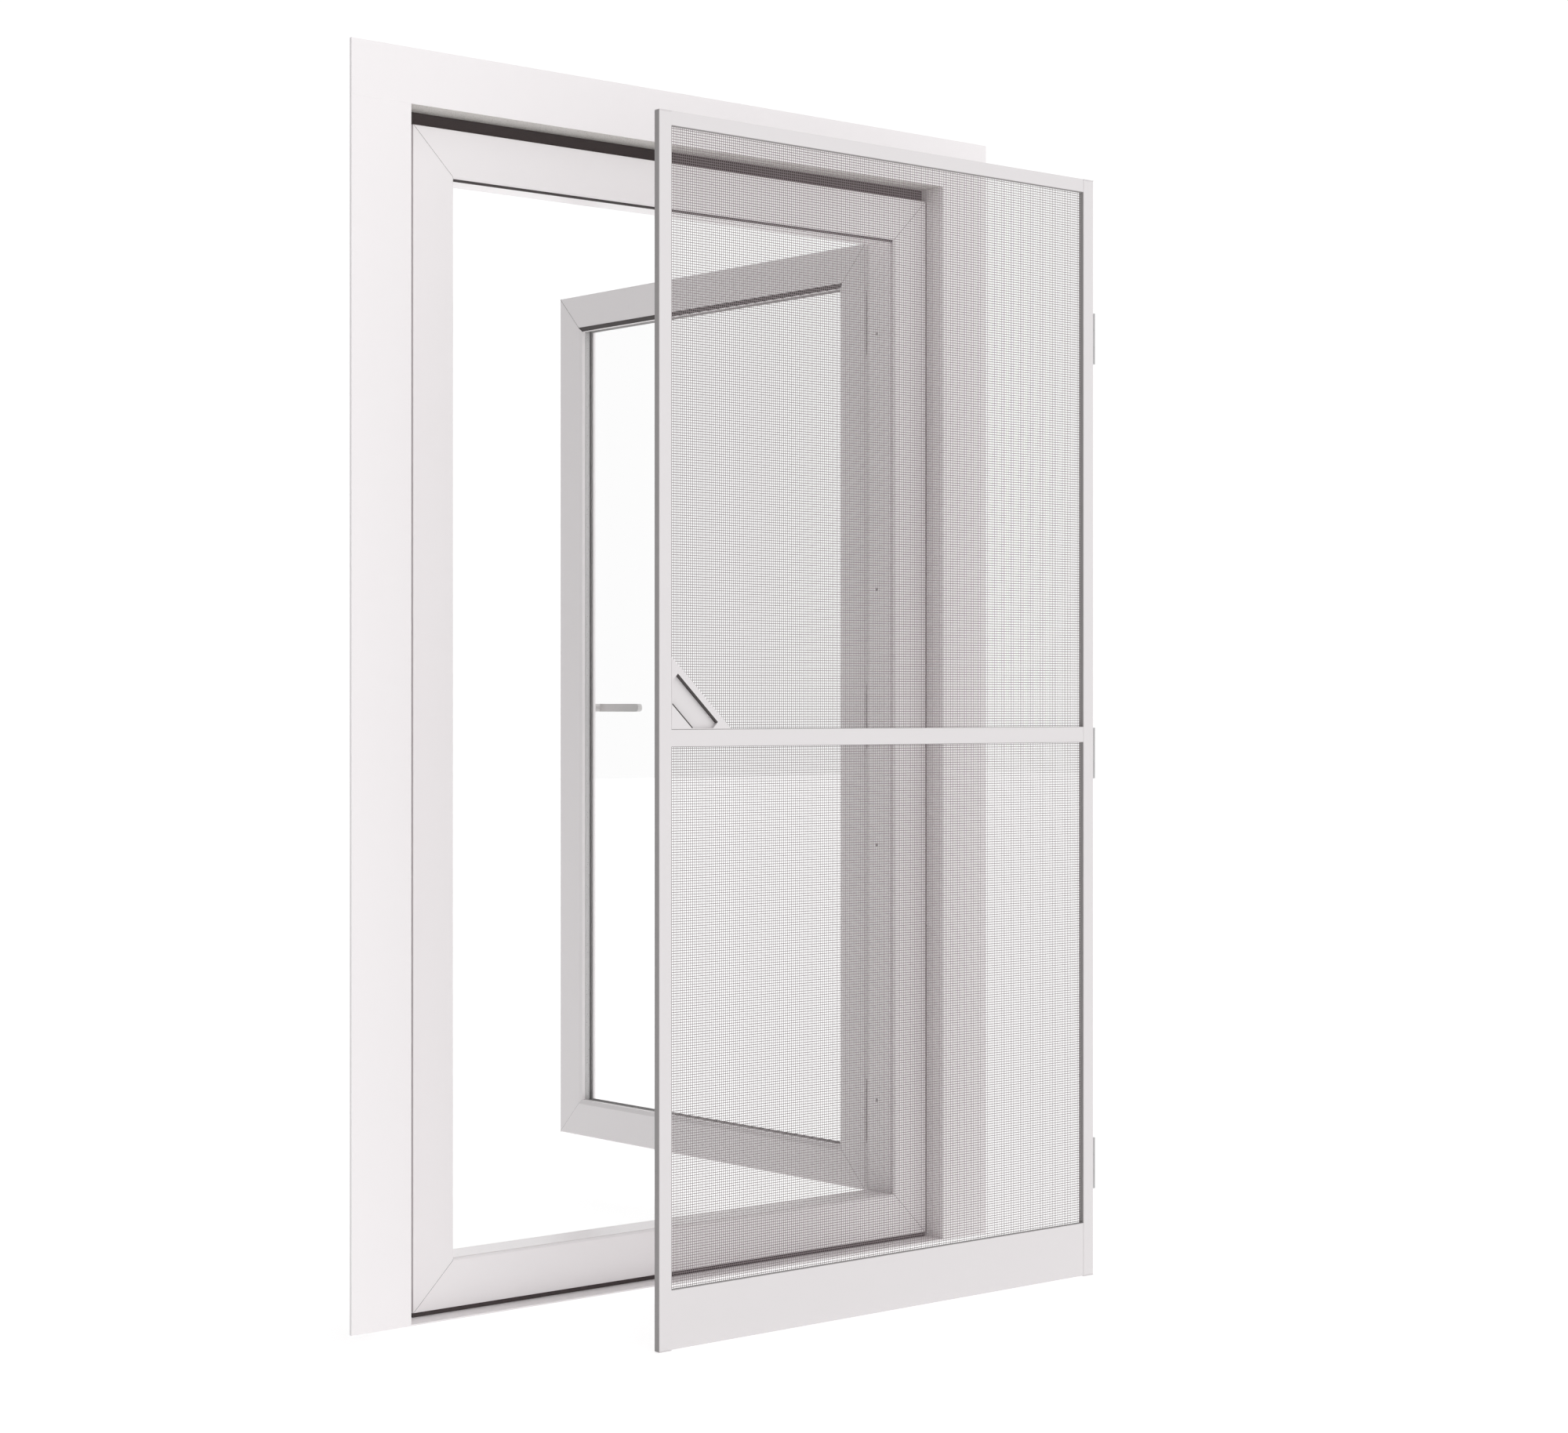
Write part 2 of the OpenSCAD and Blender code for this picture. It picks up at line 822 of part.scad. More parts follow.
module handle_pinion() {
    color(steel)
        swing()
            translate([handle_x, pinion_y0, handle_z])
                rotate([-90, 0, 0])
                    difference() {
                        union() {
                            linear_extrude(pinion_y1 - pinion_y0)
                                for (k = [0:pinion_teeth - 1])
                                    rotate(k * 360 / pinion_teeth) pinion_tooth();
                            cylinder(r = pinion_r - 2.3, h = pinion_y1 - pinion_y0);
                            translate([0, 0, case_y0 - pinion_y0])
                                cylinder(r = hub_r, h = case_y1 - case_y0);
                        }
                        translate([0, 0, 10])
                            cube([spindle_w + 2 * fit, spindle_w + 2 * fit, 60], center = true);
                    }
}

module handle_spindle() {
    color(steel)
        swing()
            block([handle_x - spindle_w / 2, case_y0 + 1, handle_z - spindle_w / 2],
                [handle_x + spindle_w / 2, sash_back + spindle_out, handle_z + spindle_w / 2]);
}

// Rack teeth point along +X and mesh with the pinion's left side
module rack_outline() {
    pitch = gear_module * PI;
    back = pinion_r + gear_module + rack_t;
    union() {
        translate([-back, -rack_half]) square([back - pinion_r - gear_module, 2 * rack_half]);
        for (k = [-4:3])
            translate([0, (k + 0.5) * pitch])
                polygon([
                    [-pinion_r - gear_module - 0.2, -1.75], [-pinion_r, -1.1], [-pinion_r + 1.4, -0.6],
                    [-pinion_r + 1.4, 0.6], [-pinion_r, 1.1], [-pinion_r - gear_module - 0.2, 1.75]
                ]);
    }
}

module rack_bar() {
    translate([handle_x, rod_y + 3.5, handle_z])
        rotate([90, 0, 0])
            linear_extrude(7) rack_outline();
}

module bolt_rod_upper() {
    tip = sash_top - 1;
    color(steel)
        swing() {
            rack_bar();
            translate([up_x, rod_y, handle_z]) cylinder(r = rod_r, h = tip - handle_z);
        }
}

module bolt_rod_lower() {
    tip = sash_z + 1;
    color(steel)
        swing() {
            translate([2 * handle_x, 0, 0]) mirror([1, 0, 0]) rack_bar();
            translate([down_x, rod_y, tip]) cylinder(r = rod_r, h = handle_z - tip);
        }
}

// Keepers screwed to the room side of the frame, above and below the closed sash
module keeper(x, z0, z1) {
    difference() {
        block([x - keeper_half_w, frame_d, z0], [x + keeper_half_w, rod_y + 12, z1]);
        translate([x, rod_y, z0 - over]) cylinder(r = rod_r + 0.6, h = z1 - z0 + 2 * over);
    }
}

module bolt_keepers() {
    color(steel) {
        keeper(up_x, sash_top + keeper_gap, sash_top + keeper_gap + keeper_h);
        keeper(down_x, sash_z - keeper_gap - keeper_h, sash_z - keeper_gap);
        for (p = [[up_x, sash_top + keeper_gap], [down_x, sash_z - keeper_gap - keeper_h]])
            for (s = [-1, 1])
                difference() {
                    translate([p[0] + s * keeper_ear_x - keeper_ear_w / 2, frame_d, p[1]])
                        cube([keeper_ear_w, keeper_ear_t, keeper_h]);
                    hole_y(screw_hole_r, frame_d - over, frame_d + keeper_ear_t + over,
                        p[0] + s * keeper_screw_x, p[1] + keeper_h / 2);
                }
    }
}

// Screws that hold the keepers and the hinge brackets to the frame
module frame_screws() {
    head_y = frame_d + keeper_ear_t;
    plate_x = hinge_out + hinge_pocket_w - bracket_plate_t;
    color(steel) {
        for (p = [[up_x, sash_top + keeper_gap], [down_x, sash_z - keeper_gap - keeper_h]])
            for (s = [-1, 1]) {
                x = p[0] + s * keeper_screw_x;
                hole_y(screw_r, frame_d, head_y, x, p[1] + keeper_h / 2);
                hole_y(screw_head_r, head_y, head_y + keeper_screw_head_t, x, p[1] + keeper_h / 2);
            }
        for (z = hinge_z)
            for (s = [-1, 1]) {
                hole_x(bracket_screw_r, plate_x, plate_x + 18, hinge_in, bracket_screw_at(z, s));
                hole_x(2 * bracket_screw_r, plate_x - 1, plate_x, hinge_in, bracket_screw_at(z, s));
            }
    }
}

module handle_rose() {
    rose_top = sash_back + rose_t;
    color(white)
        swing()
            difference() {
                translate([handle_x, sash_back, handle_z])
                    rotate([-90, 0, 0])
                        linear_extrude(rose_t)
                            union() {
                                square([rose_w, rose_h - rose_w], center = true);
                                for (s = [-1, 1])
                                    translate([0, s * (rose_h - rose_w) / 2]) circle(d = rose_w);
                            }
                hole_y(neck_r + neck_fit, sash_back - over, rose_top + over, handle_x, handle_z);
                for (s = [-1, 1]) {
                    z = handle_z + s * rose_screw_z;
                    hole_y(screw_hole_r, sash_back - over, rose_top + over, handle_x, z);
                    hole_y(screw_head_r + 0.2, rose_top - rose_sink, rose_top + over, handle_x, z);
                }
            }
}

module rose_screws() {
    head_y = sash_back + rose_t - rose_sink;
    color(steel)
        swing()
            for (s = [-1, 1]) {
                z = handle_z + s * rose_screw_z;
                hole_y(screw_r, sash_back - sash_wall, head_y, handle_x, z);
                hole_y(screw_head_r, head_y, head_y + 2 * screw_head_t, handle_x, z);
            }
}

// Round neck rising from the rose, then a flat grip pointing at the hinge side
module handle_lever() {
    grip_y = sash_back + lever_off;
    color(pale)
        swing()
            difference() {
                union() {
                    hole_y(neck_r, sash_back, grip_y + lever_t / 2, handle_x, handle_z);
                    translate([handle_x, grip_y + lever_t / 2, handle_z])
                        rotate([90, 0, 0])
                            linear_extrude(lever_t)
                                union() {
                                    circle(d = lever_w);
                                    translate([0, -lever_w / 2]) square([lever_len - lever_w / 2, lever_w]);
                                    translate([lever_len - lever_w / 2, 0]) circle(d = lever_w);
                                }
                }
                translate([handle_x, sash_back - over, handle_z])
                    rotate([-90, 0, 0])
                        linear_extrude(spindle_out + fit + over) square(spindle_w + 2 * fit, center = true);
            }
}

// ---- insect screen ----

module screen_stile(side) {
    mirror([side < 0 ? 1 : 0, 0, 0])
        difference() {
            block([net_x, screen_front, screen_z + cap_h], [screen_x, screen_back, screen_top - cap_h]);
            block([net_x + rail_wall, screen_front + stile_wall, screen_z],
                [screen_x - stile_wall, screen_back - stile_wall, screen_top]);
            block([net_x - over, net_y - 0.5, kick_top - 2],
                [net_x + net_bite, net_y + 0.5, screen_top - top_rail_h + 2]);
        }
}

module screen_stile_free() { color(white) lifted() screen_stile(-1); }
module screen_stile_hinge() { color(white) lifted() screen_stile(1); }

module screen_rail(z0, z1, groove_low, groove_high) {
    difference() {
        block([-net_x, screen_front + rail_step, z0], [net_x, screen_back - rail_step, z1]);
        block([-net_x - over, screen_front + rail_wall, z0 + rail_wall],
            [net_x + over, screen_back - rail_wall, z1 - rail_wall]);
        if (groove_low)
            block([-net_x, net_y - 0.5, z0 - over], [net_x, net_y + 0.5, z0 + net_bite]);
        if (groove_high)
            block([-net_x, net_y - 0.5, z1 - net_bite], [net_x, net_y + 0.5, z1 + over]);
    }
}

module screen_rail_top() {
    color(white) lifted() screen_rail(screen_top - top_rail_h, screen_top, true, false);
}

module screen_rail_mid() {
    color(white) lifted() screen_rail(mid_z - mid_rail_h / 2, mid_z + mid_rail_h / 2, true, true);
}

module screen_kick_plate() {
    color(white) lifted() screen_rail(screen_z + cap_h, kick_top, false, true);
}

// Keys that push into the hollow rails and stiles at the corners
module screen_corner_keys() {
    inset = rail_wall + key_fit;
    color(dark)
        lifted()
            for (s = [0, 1])
                mirror([s, 0, 0])
                    for (z = [[screen_top - top_rail_h + inset, screen_top - inset],
                              [screen_z + cap_h + inset, screen_z + cap_h + top_rail_h - inset]])
                        block([net_x - key_len, screen_front + inset, z[0]],
                            [net_x - key_fit, screen_back - inset, z[1]]);
}

module screen_end_caps() {
    color(white)
        lifted()
            for (s = [0, 1])
                mirror([s, 0, 0])
                    for (z = [screen_z, screen_top - cap_h])
                        block([net_x, screen_front - cap_proud, z],
                            [screen_x + 0.2, screen_back, z + cap_h]);
}

// Dark brush strip down the free edge
module screen_edge_strip() {
    color(dark)
        lifted()
            block([-screen_x - brush_out, screen_front + rail_step, screen_z + cap_h],
                [-screen_x, screen_back - rail_step, screen_top - cap_h]);
}

// Spline strips that line each net opening in front of the net
module spline_ring(z0, z1) {
    ring_strips(net_x, z0, z1, spline_w, screen_front + 1.2, net_y - net_t / 2);
}

module screen_splines() {
    color(dark)
        lifted() {
            spline_ring(mid_z + mid_rail_h / 2, screen_top - top_rail_h);
            spline_ring(kick_top, mid_z - mid_rail_h / 2);
        }
}

module net(z0, z1) {
    edge = net_bite - 0.2;
    color([0.6, 0.6, 0.6, 0.5])
        lifted()
            block([-net_x - edge, net_y - net_t / 2, z0 - edge], [net_x + edge, net_y + net_t / 2, z1 + edge]);
}

module net_upper() { net(mid_z + mid_rail_h / 2, screen_top - top_rail_h); }
module net_lower() { net(kick_top, mid_z - mid_rail_h / 2); }

// Corner grip: a right-angled triangle with a finger pocket along its long side
module grip_outline(inset) {
    polygon([[inset, inset], [grip_w - inset * 2.4, inset], [inset, grip_h - inset * 2.4]]);
}

module grip_pocket() {
    slope = atan2(grip_h, grip_w);
    reach = grip_w * grip_h / sqrt(grip_w * grip_w + grip_h * grip_h);
    half = 0.46 * grip_w;
    intersection() {
        grip_outline(1.2);
        translate([grip_w / 2, grip_h / 2])
            rotate(-slope)
                translate([-half, -reach * 0.65])
                    square([2 * half, reach * 0.52]);
    }
}

grip_x = -net_x + spline_w;
grip_z = mid_z + mid_rail_h / 2 + spline_w;

module grip_front() {
    back = net_y - net_t / 2 - 0.1;
    front = screen_front + 0.8;
    color(white)
        lifted()
            translate([grip_x, back, grip_z])
                rotate([90, 0, 0])
                    difference() {
                        linear_extrude(back - front) grip_outline(0);
                        translate([0, 0, 2]) linear_extrude(back - front) grip_pocket();
                    }
}

module grip_back() {
    front = net_y + net_t / 2 + 0.1;
    back = screen_back - 0.8;
    color(white)
        lifted()
            translate([grip_x, back, grip_z])
                rotate([90, 0, 0])
                    difference() {
                        linear_extrude(back - front) grip_outline(0);
                        translate([0, 0, -over]) linear_extrude((back - front) / 2 + over) grip_pocket();
                    }
}

// ---- screen hinges ----

third = screen_hinge_h / 3;

module barrel(z0, z1) {
    translate([barrel_x, barrel_y, z0]) cylinder(r = barrel_r, h = z1 - z0);
}

module pin_hole(z) {
    translate([barrel_x, barrel_y, z - screen_hinge_h])
        cylinder(r = screen_pin_r + fit, h = 2 * screen_hinge_h);
}

// Door leaves carry the middle knuckle
module screen_hinge_leaves() {
    color(pale)
        lifted()
            for (z = screen_hinge_z)
                difference() {
                    union() {
                        block([screen_x, barrel_y, z - third / 2 + 0.3],
                            [screen_x + 1.2, screen_back - 2, z + third / 2 - 0.3]);
                        block([screen_x, barrel_y - 1, z - third / 2 + 0.3],
                            [barrel_x, barrel_y + 1, z + third / 2 - 0.3]);
                        barrel(z - third / 2 + 0.3, z + third / 2 - 0.3);
                    }
                    pin_hole(z);
                }
}

// Seat leaves carry the outer knuckles and stand on the frame's face when the screen is home
module screen_hinge_seats() {
    color(pale)
        lifted()
            for (z = screen_hinge_z)
                difference() {
                    union() {
                        barrel(z - screen_hinge_h / 2, z - third / 2);
                        barrel(z + third / 2, z + screen_hinge_h / 2);
                        block([barrel_x + barrel_r - leaf_t, barrel_y, z - screen_hinge_h / 2],
                            [barrel_x + barrel_r, -soft_gap, z - third / 2]);
                        block([barrel_x + barrel_r - leaf_t, barrel_y, z + third / 2],
                            [barrel_x + barrel_r, -soft_gap, z + screen_hinge_h / 2]);
                        block([barrel_x + barrel_r - leaf_t, -6, z - screen_hinge_h / 2],
                            [barrel_x + barrel_r, -soft_gap, z + screen_hinge_h / 2]);
                        block([half_w + 1, -leaf_t - soft_gap, z - screen_hinge_h / 2],
                            [barrel_x + barrel_r, -soft_gap, z + screen_hinge_h / 2]);
                    }
                    pin_hole(z);
                }
}

module screen_hinge_pins() {
    color(steel)
        lifted()
            for (z = screen_hinge_z)
                translate([barrel_x, barrel_y, z - screen_hinge_h / 2])
                    cylinder(r = screen_pin_r, h = screen_hinge_h);
}

casing_left();
casing_right();
casing_head();
soffit_liner();
sill_plate();
seal_left();
seal_right();
seal_head();
seal_bottom();
frame_jamb_left();
frame_jamb_right();
frame_head();
frame_bottom();
frame_steel();
frame_rebate_seal();
head_drip_seal();
hinge_frame_brackets();
hinge_pins();
hinge_sash_leaves();
hinge_screws();
bolt_keepers();
frame_screws();
sash_stile_hinge();
sash_stile_handle();
sash_rail_top();
sash_rail_bottom();
sash_steel();
pane_outer();
pane_inner();
pane_spacer();
setting_blocks();
glazing_gaskets();
bead_hinge();
bead_handle();
bead_top();
bead_bottom();
gear_case();
handle_rose();
rose_screws();
handle_spindle();
handle_lever();
handle_pinion();
bolt_rod_upper();
bolt_rod_lower();
screen_stile_free();
screen_stile_hinge();
screen_rail_top();
screen_rail_mid();
screen_kick_plate();
screen_corner_keys();
screen_end_caps();
screen_edge_strip();
screen_splines();
net_upper();
net_lower();
grip_front();
grip_back();
screen_hinge_leaves();
screen_hinge_seats();
screen_hinge_pins();
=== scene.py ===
import json
import math

import bmesh
import bpy
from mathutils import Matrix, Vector


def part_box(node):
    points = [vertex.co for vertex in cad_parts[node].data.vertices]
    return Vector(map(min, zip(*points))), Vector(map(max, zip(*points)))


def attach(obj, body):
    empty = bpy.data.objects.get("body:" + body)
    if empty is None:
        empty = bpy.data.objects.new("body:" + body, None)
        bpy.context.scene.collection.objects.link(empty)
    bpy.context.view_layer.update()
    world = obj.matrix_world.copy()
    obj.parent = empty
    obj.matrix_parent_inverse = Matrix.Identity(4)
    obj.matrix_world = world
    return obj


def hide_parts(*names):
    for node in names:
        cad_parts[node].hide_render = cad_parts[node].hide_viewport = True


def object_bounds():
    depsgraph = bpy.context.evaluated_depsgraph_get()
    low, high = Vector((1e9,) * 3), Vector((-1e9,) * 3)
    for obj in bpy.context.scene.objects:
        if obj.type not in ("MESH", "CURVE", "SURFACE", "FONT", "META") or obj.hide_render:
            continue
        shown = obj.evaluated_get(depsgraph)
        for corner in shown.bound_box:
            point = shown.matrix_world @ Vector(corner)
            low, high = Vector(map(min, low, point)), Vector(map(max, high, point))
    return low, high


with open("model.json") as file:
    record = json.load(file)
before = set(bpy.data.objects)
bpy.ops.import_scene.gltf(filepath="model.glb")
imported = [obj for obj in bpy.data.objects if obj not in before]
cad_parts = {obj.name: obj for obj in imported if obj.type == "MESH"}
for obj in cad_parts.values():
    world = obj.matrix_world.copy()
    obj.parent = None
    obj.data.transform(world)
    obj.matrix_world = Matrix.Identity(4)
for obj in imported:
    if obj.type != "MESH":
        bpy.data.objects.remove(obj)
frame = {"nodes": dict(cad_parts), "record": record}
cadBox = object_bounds()
cadNodes = frame["nodes"]
nodeBody = {node: body for body, held in frame["record"]["behaviour"]["bodies"].items() for node in held}
nodeSlot = {part["node"]: part["material_slot"] for part in frame["record"]["subparts"]}
print("stage: frame loaded,", len(cadNodes), "nodes")


def addNode(tree, kind, **values):
    node = tree.nodes.new(kind)
    for name, value in values.items():
        if hasattr(node, name):
            setattr(node, name, value)
        else:
            node.inputs[name.replace("_", " ")].default_value = value
    return node


def plug(tree, start, end):
    tree.links.new(start, end)


def newGroup(name, inputs, outputs):
    group = bpy.data.node_groups.new(name, "ShaderNodeTree")
    for label, kind, value in inputs:
        socket = group.interface.new_socket(name=label, in_out="INPUT", socket_type=kind)
        socket.default_value = value
    for label, kind in outputs:
        group.interface.new_socket(name=label, in_out="OUTPUT", socket_type=kind)
    start = group.nodes.new("NodeGroupInput")
    end = group.nodes.new("NodeGroupOutput")
    return group, start, end


def makeGrainGroup():
    # Slow patches of tone under a fine grain, both in object space
    group, start, end = newGroup(
        "surfaceGrain",
        [("Colour", "NodeSocketColor", (0.8, 0.8, 0.8, 1)),
         ("Patch Colour", "NodeSocketColor", (0.7, 0.7, 0.7, 1)),
         ("Stretch", "NodeSocketVector", (1, 1, 1)), ("Patch Scale", "NodeSocketFloat", 3),
         ("Patch Amount", "NodeSocketFloat", 0.3), ("Grain Scale", "NodeSocketFloat", 400),
         ("Grain Amount", "NodeSocketFloat", 0.1), ("Roughness", "NodeSocketFloat", 0.4),
         ("Roughness Spread", "NodeSocketFloat", 0.1)],
        [("Colour", "NodeSocketColor"), ("Roughness", "NodeSocketFloat"), ("Height", "NodeSocketFloat")])
    place = addNode(group, "ShaderNodeTexCoord")
    stretch = addNode(group, "ShaderNodeVectorMath", operation="MULTIPLY")
    patch = addNode(group, "ShaderNodeTexNoise", Detail=3, Roughness=0.55)
    grain = addNode(group, "ShaderNodeTexNoise", Detail=4, Roughness=0.6)
    patchShare = addNode(group, "ShaderNodeMath", operation="MULTIPLY", use_clamp=True)
    grainShare = addNode(group, "ShaderNodeMath", operation="MULTIPLY", use_clamp=True)
    patchMix = addNode(group, "ShaderNodeMix", data_type="RGBA")
    grainMix = addNode(group, "ShaderNodeMix", data_type="RGBA")
    spread = addNode(group, "ShaderNodeMath", operation="MULTIPLY_ADD")
    shift = addNode(group, "ShaderNodeMath", operation="SUBTRACT")
    shift.inputs[1].default_value = 0.5
    plug(group, place.outputs["Object"], stretch.inputs[0])
    plug(group, start.outputs["Stretch"], stretch.inputs[1])
    plug(group, stretch.outputs[0], patch.inputs["Vector"])
    plug(group, stretch.outputs[0], grain.inputs["Vector"])
    plug(group, start.outputs["Patch Scale"], patch.inputs["Scale"])
    plug(group, start.outputs["Grain Scale"], grain.inputs["Scale"])
    plug(group, patch.outputs["Fac"], patchShare.inputs[0])
    plug(group, start.outputs["Patch Amount"], patchShare.inputs[1])
    plug(group, grain.outputs["Fac"], grainShare.inputs[0])
    plug(group, start.outputs["Grain Amount"], grainShare.inputs[1])
    plug(group, patchShare.outputs[0], patchMix.inputs["Factor"])
    plug(group, start.outputs["Colour"], patchMix.inputs[6])
    plug(group, start.outputs["Patch Colour"], patchMix.inputs[7])
    plug(group, grainShare.outputs[0], grainMix.inputs["Factor"])
    plug(group, patchMix.outputs[2], grainMix.inputs[6])
    plug(group, start.outputs["Patch Colour"], grainMix.inputs[7])
    plug(group, grain.outputs["Fac"], shift.inputs[0])
    plug(group, shift.outputs[0], spread.inputs[0])
    plug(group, start.outputs["Roughness Spread"], spread.inputs[1])
    plug(group, start.outputs["Roughness"], spread.inputs[2])
    plug(group, grainMix.outputs[2], end.inputs["Colour"])
    plug(group, spread.outputs[0], end.inputs["Roughness"])
    plug(group, grain.outputs["Fac"], end.inputs["Height"])
    return group


def makeSpeckGroup():
    # Small cells that read as grit, pores or spangle
    group, start, end = newGroup(
        "speckField",
        [("Scale", "NodeSocketFloat", 300), ("Size", "NodeSocketFloat", 0.35)],
        [("Mask", "NodeSocketFloat"), ("Tone", "NodeSocketFloat")])
    place = addNode(group, "ShaderNodeTexCoord")
    cells = addNode(group, "ShaderNodeTexVoronoi", feature="F1")
    mask = addNode(group, "ShaderNodeMath", operation="LESS_THAN")
    tone = addNode(group, "ShaderNodeSeparateColor")
    plug(group, place.outputs["Object"], cells.inputs["Vector"])
    plug(group, start.outputs["Scale"], cells.inputs["Scale"])
    plug(group, cells.outputs["Distance"], mask.inputs[0])
    plug(group, start.outputs["Size"], mask.inputs[1])
    plug(group, cells.outputs["Color"], tone.inputs[0])
    plug(group, mask.outputs[0], end.inputs["Mask"])
    plug(group, tone.outputs[0], end.inputs["Tone"])
    return group


grainGroup = makeGrainGroup()
speckGroup = makeSpeckGroup()

plainFinish = {
    "patch": 0.88, "patchScale": 2.5, "patchAmount": 0.35, "grainScale": 420, "grainAmount": 0.08,
    "stretch": (1, 1, 1), "roughness": 0.42, "spread": 0.12, "bump": 0.12, "depth": 0.0002,
    "metallic": 0.0, "coat": 0.0, "speck": None,
}

finishes = {
    "casing_paint": {"colour": (0.935, 0.902, 0.910), "grainScale": 520, "roughness": 0.5, "patch": 0.97},
    "render": {"colour": (0.74, 0.72, 0.69), "grainScale": 900, "grainAmount": 0.5, "roughness": 0.85,
               "bump": 0.6, "depth": 0.0006, "patch": 0.8,
               "speck": {"scale": 260, "size": 0.32, "colour": (0.42, 0.40, 0.38)}},
    "sill": {"colour": (0.90, 0.868, 0.875), "grainScale": 1200, "roughness": 0.38, "bump": 0.2},
    "joint_foam": {"colour": (0.078, 0.062, 0.062), "grainScale": 1400, "grainAmount": 0.3, "roughness": 0.9,
                   "bump": 0.5, "speck": {"scale": 900, "size": 0.3, "colour": (0.04, 0.033, 0.033)}},
    "frame_profile": {"colour": (0.90, 0.868, 0.875), "stretch": (1, 1, 0.06), "grainScale": 300,
                      "roughness": 0.3, "bump": 0.06, "patch": 0.96},
    "sash_profile": {"colour": (0.86, 0.828, 0.835), "stretch": (1, 1, 0.06), "grainScale": 300,
                     "roughness": 0.3, "bump": 0.06, "patch": 0.96},
    "galvanised": {"colour": (0.52, 0.53, 0.54), "metallic": 1.0, "roughness": 0.42, "spread": 0.25,
                   "speck": {"scale": 140, "size": 0.5, "colour": (0.60, 0.61, 0.62)}},
    # Near-black rubber; this finish also colours the painted shade strips under the sash top rail, in the grip
    # pocket and in the corner seams
    "gasket": {"colour": (0.055, 0.046, 0.046), "grainScale": 900, "roughness": 0.6, "bump": 0.15},
    "pale_gasket": {"colour": (0.60, 0.58, 0.58), "grainScale": 900, "roughness": 0.6, "bump": 0.15},
    "hardware": {"colour": (0.55, 0.55, 0.55), "metallic": 1.0, "stretch": (1, 1, 12), "grainScale": 260,
                 "grainAmount": 0.3, "roughness": 0.34, "spread": 0.2},
    "fasteners": {"colour": (0.60, 0.60, 0.61), "metallic": 1.0, "stretch": (4, 4, 4), "grainScale": 300,
                  "grainAmount": 0.25, "roughness": 0.24, "spread": 0.2},
    "spacer": {"colour": (0.74, 0.73, 0.73), "metallic": 0.25, "roughness": 0.5,
               "speck": {"scale": 320, "size": 0.18, "colour": (0.12, 0.12, 0.12)}},
    "handle_coat": {"colour": (0.68, 0.665, 0.66), "grainScale": 1500, "roughness": 0.32, "bump": 0.12,
                    "coat": 0.15},
    "screen_profile": {"colour": (0.76, 0.731, 0.738), "grainScale": 1600, "grainAmount": 0.12,
                       "roughness": 0.4, "bump": 0.18, "patch": 0.96},
    "screen_plastic": {"colour": (0.76, 0.731, 0.738), "grainScale": 700, "roughness": 0.46,
                       "bump": 0.2, "patch": 0.95},
    "screen_dark": {"colour": (0.36, 0.345, 0.345), "stretch": (6, 6, 0.4), "grainScale": 500,
                    "grainAmount": 0.4, "roughness": 0.8, "bump": 0.5},
    "screen_hinge": {"colour": (0.56, 0.56, 0.56), "grainScale": 700, "roughness": 0.45, "bump": 0.15},
    "net": {"colour": (0.235, 0.192, 0.200), "grainScale": 2600, "grainAmount": 0.3, "roughness": 0.55,
            "bump": 0.3, "patch": 0.85},
}


def makeFinish(name, chosen):
    finish = {**plainFinish, **chosen}
    material = bpy.data.materials.new(name)
    material.use_nodes = True
    tree = material.node_tree
    shader = tree.nodes["Principled BSDF"]
    shader.inputs["Metallic"].default_value = finish["metallic"]
    shader.inputs["Coat Weight"].default_value = finish["coat"]
    colour = finish["colour"]
    grain = addNode(tree, "ShaderNodeGroup", node_tree=grainGroup)
    grain.inputs["Colour"].default_value = (*colour, 1)
    grain.inputs["Patch Colour"].default_value = (*[c * finish["patch"] for c in colour], 1)
    grain.inputs["Stretch"].default_value = finish["stretch"]
    for label, key in (("Patch Scale", "patchScale"), ("Patch Amount", "patchAmount"),
                       ("Grain Scale", "grainScale"), ("Grain Amount", "grainAmount"),
                       ("Roughness", "roughness"), ("Roughness Spread", "spread")):
        grain.inputs[label].default_value = finish[key]
    paint, height = grain.outputs["Colour"], grain.outputs["Height"]
    if finish["speck"]:
        speck = addNode(tree, "ShaderNodeGroup", node_tree=speckGroup)
        speck.inputs["Scale"].default_value = finish["speck"]["scale"]
        speck.inputs["Size"].default_value = finish["speck"]["size"]
        share = addNode(tree, "ShaderNodeMath", operation="MULTIPLY")
        mix = addNode(tree, "ShaderNodeMix", data_type="RGBA")
        mix.inputs[7].default_value = (*finish["speck"]["colour"], 1)
        plug(tree, speck.outputs["Mask"], share.inputs[0])
        plug(tree, speck.outputs["Tone"], share.inputs[1])
        plug(tree, share.outputs[0], mix.inputs["Factor"])
        plug(tree, paint, mix.inputs[6])
        paint = mix.outputs[2]
    bump = addNode(tree, "ShaderNodeBump", Strength=finish["bump"], Distance=finish["depth"])
    plug(tree, height, bump.inputs["Height"])
    plug(tree, paint, shader.inputs["Base Color"])
    plug(tree, grain.outputs["Roughness"], shader.inputs["Roughness"])
    plug(tree, bump.outputs[0], shader.inputs["Normal"])
    return material


